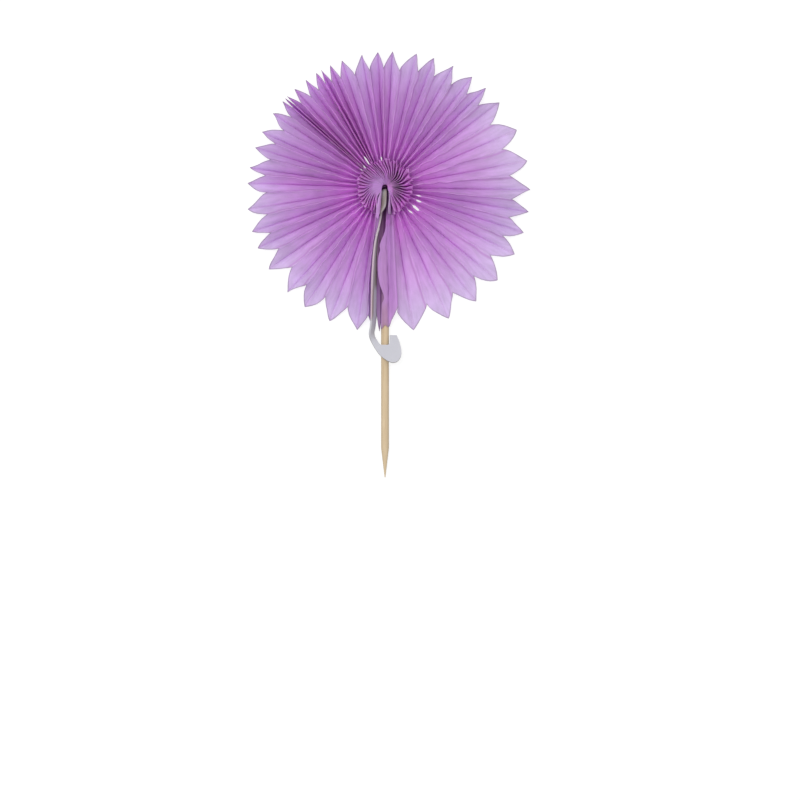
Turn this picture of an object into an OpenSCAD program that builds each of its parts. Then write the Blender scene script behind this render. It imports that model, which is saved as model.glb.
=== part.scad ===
// Paper fan pick: a round fan of glued tissue leaves on a pointed wooden stick, held open by a card clasp.
// It lies on its back. The back edges of the leaves rest on z = 0, the front of the fan faces +Z
// and the stick runs along -Y. The origin is under the middle of the whole part.
// Places are first worked out from the hub, and each piece is then moved by to_middle.

/* [Fan] */
// Distance from the hub to the tips of the leaves, on average
fan_r = 50.5; // [42:0.5:60]
// Length of a leaf's pointed end, from the notch to the tip, where a pleat opens by 9 degrees
leaf_point = 6.5; // [3:0.1:10]
// Share by which a point is longer for each degree that its pleat opens further
point_growth = 0.033; // [0:0.001:0.04]
// Distance between two lines of glue, which is the depth of the folded fan
glue_pitch = 5.6; // [5.2:0.1:8]
// Radius of the raised ring round the hub, which is two glue pitches deep
ring_r = 10; // [8:0.1:13]
// Radius of the hole at the hub
hub_r = 0.9; // [0.6:0.05:1.2]
// How far the middle of the rim lies off the hub, because the leaves are spread unevenly
rim_shift = 2.1; // [0:0.1:3]
// Direction in which the rim is shifted, in degrees
rim_shift_angle = -50; // [-90:5:90]
// How far the rim is drawn out to both sides, which makes it slightly oval
rim_oval = 0.5; // [0:0.1:1]
// Direction in which it is drawn out, in degrees
rim_oval_angle = 35; // [0:5:90]
// Turn of the first ridge and tip on the stick's right, in degrees from the stick
right_turns = [5.8, 11.7];
// Turn of the last valley, ridge and tip on the stick's left, in degrees from the stick
left_turns = [5.8, 7.8, 11.6];
// Opening of each pleat from tip to tip, in degrees, counter-clockwise from the stick
pleat_openings = [
    14.6, 12.6, 11.8, 12.2, 9.2, 8.4, 8.8, 11.5, 13, 13,
    7.9, 7.2, 9, 8.5, 7.5, 10, 6.2, 6.8, 8.9, 5.4,
    4.3, 2.6, 5.3, 6.2, 4.5, 1.2, 1.6, 6.7, 9.1, 7.2,
    8.8, 6.5, 10.8, 9.4, 7.2, 9.6, 11.9, 9, 11.2, 11.3];

/* [Leaf] */
// Thickness of a leaf with its glue
leaf_t = 0.15; // [0.1:0.01:0.2]
// Clear distance from the raised ring to the gap in the front line of glue
window_start = 1.1; // [0.6:0.1:2]
// Length of the gap in the front line of glue
window_length = 2.6; // [1:0.1:4]
// Depth by which a leaf's front edge dips in that gap
window_dip = 1.3; // [0.4:0.1:2.5]
// Share of the leaf width that a closed pleat still rises
least_rise = 0.15; // [0.1:0.01:0.3]

/* [Stick] */
// Diameter of the stick's straight stretch, which ends at the point
stick_d = 2.8; // [2:0.05:3]
// Diameter of the stick at its upper end, to which it swells slightly
stick_top_d = 2.9; // [2.8:0.02:3.2]
// Length of the straight stretch
straight_length = 29.5; // [20:0.5:40]
// Length of the stick with its point
stick_length = 102.5; // [90:0.5:130]
// Length of the tapered point
point_length = 10.6; // [6:0.1:16]
// Diameter of the blunt end of the point
point_end_d = 0.3; // [0.2:0.05:0.6]
// Rounding at the stick's upper end
stick_round = 0.3; // [0.1:0.05:0.5]

/* [Clasp] */
// Thickness of the card
card_t = 0.6; // [0.4:0.05:0.7]
// Distance that the card's hook reaches past the tips of the leaves
hook_reach = 12.6; // [11:0.1:16]
// Slope of the hook, which brings it round the front of the stick, in degrees
hook_tilt = 20; // [14:1:24]
// Clear distance between pieces that lie beside each other
clearance = 0.2; // [0.15:0.01:0.25]

/* [Hidden] */
$fn = 48;

stick_r = stick_d / 2;
stick_top_r = stick_top_d / 2;
stick_top_y = -(hub_r + clearance);

// Small helpers
function mix(a, b, t) = a + (b - a) * t;
function clamp01(t) = max(0, min(1, t));
function smooth(a, b, v) = let (t = clamp01((v - a) / (b - a))) t * t * (3 - 2 * t);
function unit(v) = v / norm(v);
// A smooth curve through hand-placed points, which is at point k when s = k
function along(points, s) =
    let (k = min(floor(s), len(points) - 2), t = s - k,
         p0 = points[max(k - 1, 0)], p1 = points[k],
         p2 = points[k + 1], p3 = points[min(k + 2, len(points) - 1)])
    (p1 * 2 + (p2 - p0) * t + (p0 * 2 - p1 * 5 + p2 * 4 - p3) * t * t
        + (p1 * 3 - p0 - p2 * 3 + p3) * t * t * t) / 2;

// Directions of the folds. Fold i is a front ridge where i is even and a back valley where it is odd.
// Folds 0 to last_fold are the fan's own; fold -1 and the ones before it lie round the stick.
pleats = len(pleat_openings);
last_fold = 2 * pleats + 3;
opening_sums = [
    for (k = 0, sum = 0; k <= pleats; sum = sum + (k < pleats ? pleat_openings[k] : 0), k = k + 1) sum];
// What the pleats share is the full turn less the seam at the stick
pleat_scale = (360 - right_turns[1] - left_turns[2]) / opening_sums[pleats];
// Turn of tip k from the stick's direction, in degrees
function tip_turn(k) = right_turns[1] + opening_sums[k] * pleat_scale;
// The ridges lie a little off the middle of their pleats, most of all to the fan's left and right
ridge_sway_angle = 0.6;
ridge_sway_turn = 20;
function ridge_turn(middle) = middle + ridge_sway_angle * sin(middle - ridge_sway_turn);
function open_turn(i) =
    i == 0 ? right_turns[0] :
    i == last_fold - 1 ? 360 - left_turns[1] :
    i == last_fold ? 360 - left_turns[0] :
    i % 2 == 1 ? tip_turn((i - 1) / 2) :
    ridge_turn((tip_turn(i / 2 - 1) + tip_turn(i / 2)) / 2);
// At the hub the leaves are packed evenly
function packed_turn(i) = mix(open_turn(0), open_turn(last_fold), i / last_fold);

// Where the card stands beside the stick: its foot's clear distance from the stick and how far its head leans
// out from the foot, in even steps from the hub to the rim
foot_away = [0.35, 0.45, 0.55, 0.75, 1.05, 1.35];
head_lean = [-1.4, -1, 1.1, 1.8, 1.8, 1.6];
function from_hub(list, r) = along(list, (len(list) - 1) * clamp01(r / fan_r));
function foot_x(r) = -(stick_top_r + clearance + card_t / 2 + from_hub(foot_away, r));
function head_x(r) = foot_x(r) - from_hub(head_lean, r);

// Room that the folds leave for the stick on their right and for the card on their left
wrap_r = (stick_top_r + clearance) / cos(30);
room_right = wrap_r + leaf_t + clearance;
function beside_card(x) = -x + card_t / 2 + clearance + leaf_t;
function foot_room(r) = beside_card(foot_x(r));
// The last ridge stays left of the last valley, also where the card leans over the stick
function head_room(r) = max(beside_card(head_x(r)), foot_room(r) + leaf_t);
function room_left(i, r) = i % 2 == 0 ? head_room(r) : foot_room(r);
function room_turn(room, r) = asin(min(1, room / r));
function turn(i, r) =
    let (open = mix(packed_turn(i), open_turn(i), smooth(0, ring_r, r)),
         rim = fan_r - leaf_point,
         right = room_turn(room_right, r), right_rim = room_turn(room_right, rim),
         left = room_turn(room_left(i, r), r), left_rim = room_turn(room_left(i, rim), rim))
    right + (open - right_rim) * (360 - right - left) / (360 - right_rim - left_rim);

// Distances from the hub at which the leaves are drawn, and how much of its depth a leaf has there
bend_r = 2.8;
core_r = 4;
window_a = ring_r + window_start;
window_b = window_a + window_length;
function tip_r(i) =
    fan_r + rim_shift * cos(open_turn(i) - 90 - rim_shift_angle)
        + rim_oval * cos(2 * (open_turn(i) - 90 - rim_oval_angle));
// The point at fold i, from its notch to its tip
function opening(i) = open_turn(min(i + 1, last_fold)) - open_turn(max(i - 1, 0));
function point_at(i) = leaf_point * (1 + point_growth * (opening(i) - 9));
body_steps = [0.25, 0.5, 0.75, 1];
point_steps = [0.35, 0.65, 0.88, 1];
ring_station = 4;
core_station = 2;
function stations(i) =
    let (notch_r = tip_r(i) - point_at(i))
    concat([hub_r, bend_r, core_r, (core_r + ring_r) / 2, ring_r],
           [window_a, (window_a + window_b) / 2, window_b],
           [for (t = body_steps) mix(window_b, notch_r, t)],
           [for (t = point_steps) mix(notch_r, tip_r(i), t)]);
leaf_depths = concat([1, 1, 1, 1, 1, 1, 1 - window_dip / glue_pitch, 1],
                     [for (t = body_steps) 1], [for (t = point_steps) 1 - pow(t, 1.3)]);
last_station = len(leaf_depths) - 1;

function fold_xy(i, r) = r * [sin(turn(i, r)), -cos(turn(i, r))];
// The end leaf lands on the stick's right side near the hub. From lap_station on it laps over the stick's
// front, and the lap's tip hangs down the left side.
lap_station = 7;
function wrap_angle(i, r) = i == -1 ? mix(0, 60, smooth(ring_r, window_b, r)) : i == -2 ? 120 : 185;
lap_tips = [-2.9, -1.5, 0.9];
function wrap_tip_r(i) = fan_r + lap_tips[-1 - i];
function wrap_stations(i) =
    [for (r = stations(0))
        r <= window_b ? r : mix(window_b, wrap_tip_r(i), (r - window_b) / (tip_r(0) - window_b))];
function wrap_point(i, r, out) =
    [(wrap_r + out) * cos(wrap_angle(i, r)), -r, stick_top_r + (wrap_r + out) * sin(wrap_angle(i, r))];

// Places of every fold at every station, looked up by fold and station
fold_r = [for (i = [0:last_fold]) stations(i)];
fold_place = [for (i = [0:last_fold]) [for (r = fold_r[i]) fold_xy(i, r)]];
wrap_place = [for (i = [-1:-1:-3]) [for (r = wrap_stations(i)) wrap_point(i, r, 0)]];
function place(i, j) = i >= 0 ? fold_place[i][j] : [wrap_place[-1 - i][j].x, wrap_place[-1 - i][j].y];
function spacing(i, j) =
    let (before = norm(place(i, j) - place(max(i - 1, -1), j)),
         after = norm(place(i, j) - place(min(i + 1, last_fold), j)))
    i <= -1 ? after : i >= last_fold ? before : (before + after) / 2;
// Height of a ridge over the valleys beside it: the leaf keeps its width however far it is spread
function ridge_z(s) = sqrt(max(pow(glue_pitch, 2) - s * s, pow(least_rise * glue_pitch, 2)));
// Upright thickness of a leaf that leans over a spacing s
function lean_t(s) = min(leaf_t * glue_pitch / s, 0.7 * ridge_z(s));

// The eight points of the leaf between folds i and i + 1 at station j
function leaf_points(i, j) =
    let (v = i % 2 == 0 ? i + 1 : i, q = i % 2 == 0 ? i : i + 1,
         sv = spacing(v, j), sq = spacing(q, j),
         foot = v < 0 ? wrap_place[0][j].z : 0,
         h = ridge_z(sq), tv = lean_t(sv), tq = lean_t(sq),
         vp = place(v, j), qp = place(q, j), d = leaf_depths[j],
         web = 1 - min(0.4, leaf_t / 2 / max(norm(vp - qp), leaf_t)),
         top = 2 * ridge_z(sv),
         v_back = [vp.x, vp.y, foot], v_front = [vp.x, vp.y, foot + tv],
         q_back = [qp.x, qp.y, h - tq], q_front = [qp.x, qp.y, h])
    j < core_station
        ? [v_back, v_back, [qp.x, qp.y, 0], q_front, q_front, v_front, [vp.x, vp.y, top], [qp.x, qp.y, 2 * h]]
        : [v_back, v_front, mix(v_back, q_back, d), mix(v_front, q_front, d),
           mix(v_front, q_front, web), [vp.x, vp.y, top - tv], [vp.x, vp.y, top], [qp.x, qp.y, h + tq]];
V_BACK = 0; V_FRONT = 1; Q_BACK = 2; Q_FRONT = 3; WEB = 4; ROOF = 5; V_TOP = 6; Q_TOP = 7;

first_leaf = -1;
leaf_count = last_fold + 1;
per_leaf = 8 * (last_station + 1);
function at(n, j, k) = n * per_leaf + 8 * j + k;
// A patch with corners a, b, c and d as two triangles, turned over where the leaf leans the other way
function turned(faces, flip) = flip ? [for (t = faces) [t[2], t[1], t[0]]] : faces;
function patch(a, b, c, d, flip) = turned([[a, b, c], [a, c, d]], flip);
function strip(n, j, k, m, flip) = patch(at(n, j, k), at(n, j, m), at(n, j + 1, m), at(n, j + 1, k), flip);
// The last stretch of a leaf narrows to the tip, so it is one triangle
function tip(n, flip, k, m) =
    turned([[at(n, last_station - 1, k), at(n, last_station - 1, m), at(n, last_station, m)]], flip);
function flat(lists) = [for (l = lists) for (f = l) f];

function leaf_faces(n) =
    let (even = (n + first_leaf) % 2 == 0, odd = !even, c = core_station, r = ring_station, e = last_station)
    flat(concat(
        // Back and front of the leaf, and its front edge where it isn't glued
        [for (j = [0:e - 2]) strip(n, j, V_BACK, Q_BACK, odd)],
        [for (j = [r + 1:e - 2]) strip(n, j, V_FRONT, Q_FRONT, even)],
        [tip(n, odd, V_BACK, Q_BACK), tip(n, even, V_FRONT, Q_FRONT)],
        [for (j = [r:e - 1])
            if (min(leaf_depths[j], leaf_depths[j + 1]) < 1) strip(n, j, Q_BACK, Q_FRONT, odd)],
        // Top of the raised ring, and the floor and roof of the cell in it
        [for (j = [0:r - 1]) strip(n, j, V_TOP, Q_TOP, even)],
        [for (j = [c:r - 1]) strip(n, j, V_FRONT, WEB, even)],
        [for (j = [c:r - 1]) strip(n, j, WEB, ROOF, even)],
        // Wall of the hub hole, and the inner end of the cell
        [patch(at(n, 0, V_BACK), at(n, 0, V_TOP), at(n, 0, Q_TOP), at(n, 0, Q_BACK), odd),
         turned([[at(n, c, ROOF), at(n, c, WEB), at(n, c, V_FRONT)]], even)],
        // Step at the edge of the raised ring, and the front of the leaf just outside it
        [patch(at(n, r, WEB), at(n, r, ROOF), at(n, r, V_TOP), at(n, r, Q_TOP), even),
         turned([[at(n, r, Q_TOP), at(n, r, Q_FRONT), at(n, r, WEB)],
                 [at(n, r, V_FRONT), at(n, r, WEB), at(n, r + 1, Q_FRONT)],
                 [at(n, r, WEB), at(n, r, Q_FRONT), at(n, r + 1, Q_FRONT)],
                 [at(n, r, V_FRONT), at(n, r + 1, Q_FRONT), at(n, r + 1, V_FRONT)]], even)]));

// The free side of an end leaf, along its valley as far as station e
function end_faces(n, e, flip) =
    let (c = core_station, r = ring_station, root = at(n, c - 1, V_BACK))
    flat(concat(
        [for (j = [c:e - 1]) strip(n, j, V_BACK, V_FRONT, flip)],
        [for (j = [c:r - 1]) strip(n, j, ROOF, V_TOP, flip)],
        [for (j = [0:c - 2]) strip(n, j, V_BACK, V_TOP, flip)],
        [turned([[root, at(n, c, V_FRONT), at(n, c, V_BACK)],
                 [root, at(n, c, ROOF), at(n, c, V_FRONT)],
                 [root, at(n, c, V_TOP), at(n, c, ROOF)],
                 [root, at(n, c - 1, V_TOP), at(n, c, V_TOP)]], flip)]));

// The lap over the stick, from fold -1 across fold -2 to its free edge at fold -3
lap_points = [for (i = [-2, -3]) for (r = wrap_stations(i)) for (out = [0, leaf_t]) wrap_point(i, r, out)];
function lap_at(i, j, k) =
    i == -1 ? at(0, j, k) : leaf_count * per_leaf + (-2 - i) * 2 * (last_station + 1) + 2 * j + k;
function lap_strip(i, j, k, flip) =
    patch(lap_at(i - 1, j, k), lap_at(i, j, k), lap_at(i, j + 1, k), lap_at(i - 1, j + 1, k), flip);
function lap_cap(i, j, flip) =
    patch(lap_at(i - 1, j, V_BACK), lap_at(i - 1, j, V_FRONT),
          lap_at(i, j, V_FRONT), lap_at(i, j, V_BACK), flip);
lap_faces = flat(concat(
    [for (i = [-1, -2]) for (j = [lap_station:last_station - 1]) lap_strip(i, j, V_BACK, true)],
    [for (i = [-1, -2]) for (j = [lap_station:last_station - 1]) lap_strip(i, j, V_FRONT, false)],
    [for (i = [-1, -2]) lap_cap(i, lap_station, true)],
    [for (i = [-1, -2]) lap_cap(i, last_station, false)],
    [for (j = [lap_station:last_station - 1])
        patch(lap_at(-3, j, V_BACK), lap_at(-3, j, V_FRONT),
              lap_at(-3, j + 1, V_FRONT), lap_at(-3, j + 1, V_BACK), false)]));

all_points = concat(
    [for (n = [0:leaf_count - 1]) for (j = [0:last_station]) for (p = leaf_points(n + first_leaf, j)) p],
    lap_points);
all_faces = concat(
    flat([for (n = [0:leaf_count - 1]) leaf_faces(n)]),
    end_faces(leaf_count - 1, last_station, true),
    end_faces(0, lap_station, false),
    lap_faces);

// The card. Beside the stick it stands on its foot, up to the front line of glue and in the raised ring to
// twice that, and past the fan it turns flat and hooks round the front of the stick.
// Length over which it steps down at the edge of the ring, and where its turn starts inside the tips
ring_gap = 1.2;
hook_start = 4.5;
// The hook's places are counted from here
hook_base = fan_r - 0.5;
card_top_r = hub_r + 2 * clearance;
function card_level(r) = r < ring_r - ring_gap / 2 - 0.01 ? 2 : 1;
function card_foot(r) = [foot_x(r), -r, clearance];
function card_head(r) =
    [mix(foot_x(r), head_x(r), card_level(r)), -r, mix(clearance, glue_pitch, card_level(r)) ];
card_r = concat([for (t = [0, 0.35, 0.7]) mix(card_top_r, ring_r - ring_gap, t)],
                [ring_r - ring_gap, ring_r - ring_gap / 2],
                [for (t = [0.1:0.1:1]) mix(ring_r - ring_gap / 2, fan_r - hook_start, t)]);

// The hook's cut edges, as places across and distances past hook_base, with their heights over its plane
// The notch is open towards the fan, and its bottom lies at notch_d past hook_base
slot = stick_top_r + clearance;
notch_d = 6.25;
hook_z = stick_top_d + clearance + card_t / 2 / cos(hook_tilt);
hook_outer = [
    [-5, -2.2, 5], [-5.2, 0, 4.3], [-5.5, 1.6, 3.2], [-5.45, 3.4, 1.8], [-4.75, 5.4, 0.5], [-3.45, 7.7, 0],
    [-1.7, 10, 0], [1, hook_reach - 0.6, 0], [3.2, hook_reach, 0], [5, hook_reach - 1, 0], [5.9, 9.2, 0],
    [5.4, 6, 0], [4.2, 2.8, 0]];
hook_inner = [
    [-slot - 1.8, -2.2, -0.1], [-slot - 2.1, 0.1, -0.5], [-slot - 2.4, 1.9, -0.5], [-slot - 2, 3.5, -0.2],
    [-slot - 0.9, 5.1, 0], [-slot - 0.15, 6, 0], [-slot * 0.6, notch_d, 0], [0, notch_d, 0],
    [slot * 0.6, notch_d, 0], [slot * 0.92, notch_d - 0.4, 0], [slot, 5.2, 0], [slot, 4, 0], [slot, 2.8, 0]];
function hook_place(edge, s) =
    let (p = along(edge, s))
    [p.x, -hook_base - p.y, max(clearance, hook_z + (p.y - notch_d) * tan(hook_tilt) + p.z)];
card_edges = concat(
    [for (r = card_r) [card_head(r), card_foot(r)]],
    [for (s = [0:0.5:len(hook_outer) - 1]) [hook_place(hook_outer, s), hook_place(hook_inner, s)]]);
function card_ring(k) =
    let (here = card_edges[k], last = card_edges[max(k - 1, 0)],
         next = card_edges[min(k + 1, len(card_edges) - 1)],
         half = unit(cross(next[0] + next[1] - last[0] - last[1], here[0] - here[1])) * card_t / 2)
    [here[0] + half, here[1] + half, here[1] - half, here[0] - half];
card_points = [for (k = [0:len(card_edges) - 1]) for (p = card_ring(k)) p];
card_last = len(card_edges) - 1;
card_faces = concat(
    [[0, 1, 2, 3], [for (c = [3:-1:0]) 4 * card_last + c]],
    [for (k = [0:card_last - 1]) for (c = [0:3])
        for (t = patch(4 * k + c, 4 * k + (c + 1) % 4, 4 * k + 4 + (c + 1) % 4, 4 * k + 4 + c, true)) t]);

// The middle of the whole part, which goes over the origin
function middle(values) = (min(values) + max(values)) / 2;
outline = concat(
    [for (n = [0:leaf_count - 1]) for (j = [0:last_station]) for (k = [V_BACK, Q_BACK]) all_points[at(n, j, k)]],
    card_points, [[0, stick_top_y - stick_length, 0]]);
to_middle = [-middle([for (p = outline) p.x]), -middle([for (p = outline) p.y]), 0];

module tissue_fan() {
    color([0.73, 0.48, 0.82])
        translate(to_middle)
            polyhedron(points = all_points, faces = all_faces, convexity = 20);
}

module wooden_stick() {
    color([0.83, 0.72, 0.58])
        translate(to_middle + [0, stick_top_y, stick_top_r])
            rotate([90, 0, 0])
                rotate_extrude()
                    polygon([[0, 0], [stick_top_r - stick_round, 0], [stick_top_r, stick_round],
                             [stick_r, stick_length - point_length - straight_length],
                             [stick_r, stick_length - point_length],
                             [point_end_d / 2, stick_length], [0, stick_length]]);
}

module card_clasp() {
    color([0.84, 0.84, 0.88])
        translate(to_middle)
            polyhedron(points = card_points, faces = card_faces, convexity = 6);
}

tissue_fan();
wooden_stick();
card_clasp();
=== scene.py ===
"""Paper fan pick: a round fan of glued tissue leaves on a wooden stick, held open by a card clasp.

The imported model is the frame. The pieces here stand where its solids stand, in metres, and give them
their folds, edges and finishes. Places round the fan are read from the hub: across is +X, and along
the stick is -Y. A turn is counted in degrees from the stick, counter-clockwise as the front is seen.
"""
from math import asin, cos, degrees, pi, radians, sin, sqrt, tan

import bmesh
import bpy
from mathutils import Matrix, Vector, noise


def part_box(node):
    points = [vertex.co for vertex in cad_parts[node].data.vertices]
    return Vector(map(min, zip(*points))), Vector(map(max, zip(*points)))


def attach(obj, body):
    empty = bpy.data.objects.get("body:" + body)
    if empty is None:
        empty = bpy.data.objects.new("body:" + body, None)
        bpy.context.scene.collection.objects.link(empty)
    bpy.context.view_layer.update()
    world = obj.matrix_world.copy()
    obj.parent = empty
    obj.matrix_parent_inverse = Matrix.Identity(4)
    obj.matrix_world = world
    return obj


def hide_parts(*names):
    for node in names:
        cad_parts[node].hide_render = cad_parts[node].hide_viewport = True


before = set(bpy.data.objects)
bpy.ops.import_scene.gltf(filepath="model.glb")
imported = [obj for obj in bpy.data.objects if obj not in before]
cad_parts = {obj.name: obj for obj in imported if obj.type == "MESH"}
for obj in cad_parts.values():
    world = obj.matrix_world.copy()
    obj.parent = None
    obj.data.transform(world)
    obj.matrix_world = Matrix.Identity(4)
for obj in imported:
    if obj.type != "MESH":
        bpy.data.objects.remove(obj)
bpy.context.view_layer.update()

bl_info = {
    "name": "Paper Fan Pick",
    "version": (1, 0, 0),
    "blender": (4, 5, 0),
    "location": "3D View > Sidebar > Fan Pick",
    "description": "Builds a round tissue fan on a wooden stick with its card clasp",
    "category": "Add Mesh",
}

MM = 0.001
STICK_LOW, STICK_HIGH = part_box("wooden_stick")
# Where the stick's upper end is, in millimetres up from the hub
STICK_TOP = -1.1
HUB = Vector(((STICK_LOW.x + STICK_HIGH.x) / 2, STICK_HIGH.y - STICK_TOP * MM, 0))

# Opening of each pleat from tip to tip, in degrees, counter-clockwise from the stick
PLEAT_OPENINGS = [
    14.6, 12.6, 11.8, 12.2, 9.2, 8.4, 8.8, 11.5, 13, 13,
    7.9, 7.2, 9, 8.5, 7.5, 10, 6.2, 6.8, 8.9, 5.4,
    4.3, 2.6, 5.3, 6.2, 4.5, 1.2, 1.6, 6.7, 9.1, 7.2,
    8.8, 6.5, 10.8, 9.4, 7.2, 9.6, 11.9, 9, 11.2, 11.3]
# How far into each pleat its front ridge lies, in degrees from the tip before it
RIDGE_LEADS = [
    8, 6.7, 6.3, 6.5, 5, 4.5, 4.4, 6.2, 7.3, 7.3,
    4.6, 4.2, 5.4, 5.4, 4.6, 6, 4.2, 4.4, 5.1, 3.4,
    2.7, 1.4, 3.3, 2.8, 2.2, 0.5, 0.9, 3.3, 4.1, 2.9,
    3.6, 2.5, 4.4, 4, 3.1, 4.6, 5.6, 4.1, 5.4, 5.4]
# Folds on each side of the stick, in degrees from it
RIGHT_TURNS = [5.8, 11.7]
LEFT_TURNS = [5.8, 7.8, 11.6]
LAST_FOLD = 2 * len(PLEAT_OPENINGS) + 3
# From this fold on the leaves stand close to the card
FIRST_LAP_FOLD = LAST_FOLD - 5.0
# Slits in the front line of glue that gape: ridge, how far it gapes, distance from the hub and length
GAPING_SLITS = [
    (3, 0.7, 11.4, 2.2), (4, 1.3, 11.5, 3.2), (5, 1.0, 11.8, 2.2), (6, 0.8, 11.4, 1.8),
    (18, 1.1, 9.6, 1.5), (23, 1.5, 9.8, 3.4), (25, 1.0, 9.6, 1.5), (28, 0.6, 9.8, 1.2)]


# Small helpers

def mix(a, b, t):
    return a + (b - a) * t


def clamp(t):
    return max(0.0, min(1.0, t))


def smooth(low, high, value):
    t = clamp((value - low) / (high - low))
    return t * t * (3 - 2 * t)


def along(points, s):
    """A smooth curve through given points, which is at point k when s = k."""
    k = min(int(s), len(points) - 2)
    t = s - k
    before, here = points[max(k - 1, 0)], points[k]
    after, last = points[k + 1], points[min(k + 2, len(points) - 1)]
    return tuple(
        (2 * b + (c - a) * t + (2 * a - 5 * b + 4 * c - d) * t * t + (3 * b - a - 3 * c + d) * t ** 3) / 2
        for a, b, c, d in zip(before, here, after, last))


def by_place(points, value):
    """A smooth curve through (place, number) pairs, read at one place."""
    places = [p[0] for p in points]
    if value <= places[0]:
        return points[0][1]
    for k in range(len(places) - 1):
        if value <= places[k + 1]:
            return along(points, k + (value - places[k]) / (places[k + 1] - places[k]))[1]
    return points[-1][1]


def ripple(x, y, z):
    return noise.noise(Vector((x, y, z)))


def at_hub(x, y, z):
    """A place in millimetres from the hub, across, up the fan and out of its front."""
    return HUB + Vector((x, y, z)) * MM


# Turns of the folds, as the solids have them

def open_turns():
    """The turn of every fold at the rim, from fold -1 at the stick to one past the last."""
    turns = list(RIGHT_TURNS)
    scale = (360 - RIGHT_TURNS[1] - LEFT_TURNS[2]) / sum(PLEAT_OPENINGS)
    tip = RIGHT_TURNS[1]
    for opening, lead in zip(PLEAT_OPENINGS, RIDGE_LEADS):
        turns.append(tip + lead * scale)
        tip += opening * scale
        turns.append(tip)
    turns += [360 - LEFT_TURNS[1], 360 - LEFT_TURNS[0]]
    return [2 * turns[0] - turns[1]] + turns + [2 * turns[-1] - turns[-2]]


# Room for the stick and the card beside the folds, in millimetres, at a distance from the hub

def foot_room(r):
    return 2.95 + (r / 50) ** 1.6


def head_room(r):
    return 3.1 + 2.4 * smooth(6, 37, r)


RIGHT_ROOM = 2.2
RIM_R = 44.0


def room_turn(room, r):
    return degrees(asin(min(1, room / r)))


def fold_turn(number, r, turns):
    """The turn of a fold at a distance from the hub, in degrees."""
    fold_open = turns[number + 1]
    packed = mix(turns[1], turns[-2], number / LAST_FOLD)
    swung = mix(packed, fold_open, smooth(0, 10, r))
    room = foot_room if number % 2 else head_room
    right, right_rim = room_turn(RIGHT_ROOM, r), room_turn(RIGHT_ROOM, RIM_R)
    left, left_rim = room_turn(room(r), r), room_turn(room(RIM_R), RIM_R)
    reach = mix(200, 60, smooth(2, 10, r))
    return (swung + (right - right_rim) * (1 - smooth(0, reach, swung))
            - (left - left_rim) * smooth(360 - reach, 360, swung))


# Nodes

class Term:
    """One output of a node, so that a rule can be written as a formula."""

    def __init__(self, node, output=0):
        self.node = node
        self.output = output

    def __getitem__(self, output):
        return Term(self.node, output)

    def __add__(self, other):
        return calc("ADD", self, other)

    def __radd__(self, other):
        return calc("ADD", other, self)

    def __sub__(self, other):
        return calc("SUBTRACT", self, other)

    def __rsub__(self, other):
        return calc("SUBTRACT", other, self)

    def __mul__(self, other):
        return calc("MULTIPLY", self, other)

    def __rmul__(self, other):
        return calc("MULTIPLY", other, self)

    def __truediv__(self, other):
        return calc("DIVIDE", self, other)

    def __pow__(self, other):
        return calc("POWER", self, other)


def feed(target, key, value):
    """Link a term to an input of a node, or set the input to a plain value."""
    node = target.node
    if isinstance(value, Term):
        node.id_data.links.new(value.node.outputs[value.output], node.inputs[key])
    else:
        node.inputs[key].default_value = value


def add(tree, kind, *values, **options):
    """Add a node. An option with a capital feeds the input of that label, any other option is one of the
    node's settings, and the values without a label feed its inputs in order."""
    term = Term(tree.nodes.new(kind))
    for name, value in options.items():
        if name[0].isupper():
            feed(term, name.replace("_", " "), value)
        else:
            setattr(term.node, name, value)
    for number, value in enumerate(values):
        feed(term, number, value)
    return term


def tree_of(*values):
    """The node tree of the first term among some values."""
    return next(value.node.id_data for value in values if isinstance(value, Term))


def calc(operation, *values):
    return add(tree_of(*values), "ShaderNodeMath", *values, operation=operation)


def within(value):
    """The value, kept between 0 and 1."""
    return calc("MINIMUM", calc("MAXIMUM", value, 0.0), 1.0)


def step(low, high, value, start=0.0, end=1.0):
    """A smooth step from start to end while the value goes from low to high."""
    return add(tree_of(value), "ShaderNodeMapRange", interpolation_type="SMOOTHSTEP", Value=value,
               From_Min=low, From_Max=high, To_Min=start, To_Max=end)


def vector(x, y, z):
    return add(tree_of(x, y, z), "ShaderNodeCombineXYZ", x, y, z)


def waves(place, scale=1.0, detail=1.0):
    """Smooth noise from about -1 to 1, at a place given as one term or as three numbers."""
    if isinstance(place, tuple):
        place = vector(*place)
    grain = add(tree_of(place), "ShaderNodeTexNoise", Vector=place, Scale=scale, Detail=detail)
    return (grain - 0.5) * 2.4


def new_group(name, kind, inputs, outputs):
    """A node group with named inputs and outputs, and its two end nodes. An input is given as its number,
    or as the kind of its socket."""
    tree = bpy.data.node_groups.new(name, kind)
    for label, value in inputs.items():
        holds = value if isinstance(value, str) else "Float"
        socket = tree.interface.new_socket(name=label, in_out="INPUT", socket_type="NodeSocket" + holds)
        if value != holds:
            socket.default_value = value
    for label, holds in outputs.items():
        tree.interface.new_socket(name=label, in_out="OUTPUT", socket_type="NodeSocket" + holds)
    return tree, add(tree, "NodeGroupInput"), add(tree, "NodeGroupOutput")


# The fan's tree

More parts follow.
